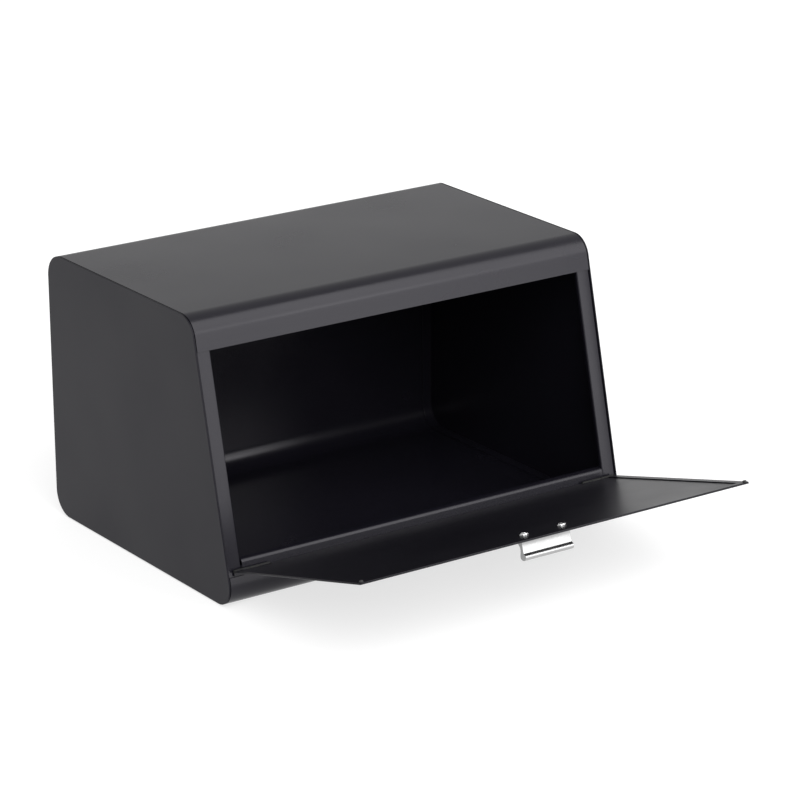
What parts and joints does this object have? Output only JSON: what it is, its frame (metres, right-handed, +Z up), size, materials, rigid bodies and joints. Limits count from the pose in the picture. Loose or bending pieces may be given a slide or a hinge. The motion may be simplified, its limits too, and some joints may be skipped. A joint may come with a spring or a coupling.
{
  "type": "bread bin",
  "caption": "Sheet steel bread bin with a slanted front and a bottom-hinged fall-front flap, shown open, with an aluminium edge pull.",
  "frame": {"origin": "on the standing surface, under the middle of the whole object's width and depth with its flap open, as it is at rest", "axes": "+Z up, +Y to the back, +X to the right of someone facing the front; the open flap reaches towards -Y"},
  "size_m": [0.34, 0.3962, 0.202],
  "materials": {
    "powder_coat_shell": "satin fine-texture powder coat",
    "powder_coat_side": "satin fine-texture powder coat",
    "powder_coat_flap": "semi-gloss powder coat",
    "hinge_steel": "blackened",
    "handle_aluminium": "satin anodised",
    "screw_chrome": "bright plated",
    "rubber": "matt"
  },
  "bodies": {
    "body": {"wrapper_shell": "powder_coat_shell", "side_panel_left": "powder_coat_side", "side_panel_right": "powder_coat_side", "front_stile_left": "powder_coat_shell", "front_stile_right": "powder_coat_shell", "hinge_bracket_left": "powder_coat_shell", "hinge_bracket_right": "powder_coat_shell", "foot_front_left": "rubber", "foot_front_right": "rubber", "foot_back_left": "rubber", "foot_back_right": "rubber"},
    "flap": {"flap_panel": "powder_coat_flap", "pull_handle": "handle_aluminium", "handle_screw_left": "screw_chrome", "handle_screw_right": "screw_chrome", "flap_bumper_left": "rubber", "flap_bumper_right": "rubber", "hinge_pin_left": "hinge_steel", "hinge_pin_right": "hinge_steel", "pin_clip_left": "hinge_steel", "pin_clip_right": "hinge_steel"}
  },
  "joints": [
    {"name": "flap_hinge", "type": "hinge", "parent": "body", "child": "flap", "pos_m": [0, -0.04266, 0.02845], "axis": [-1, 0, 0], "range_deg": [0, 88]}
  ]
}
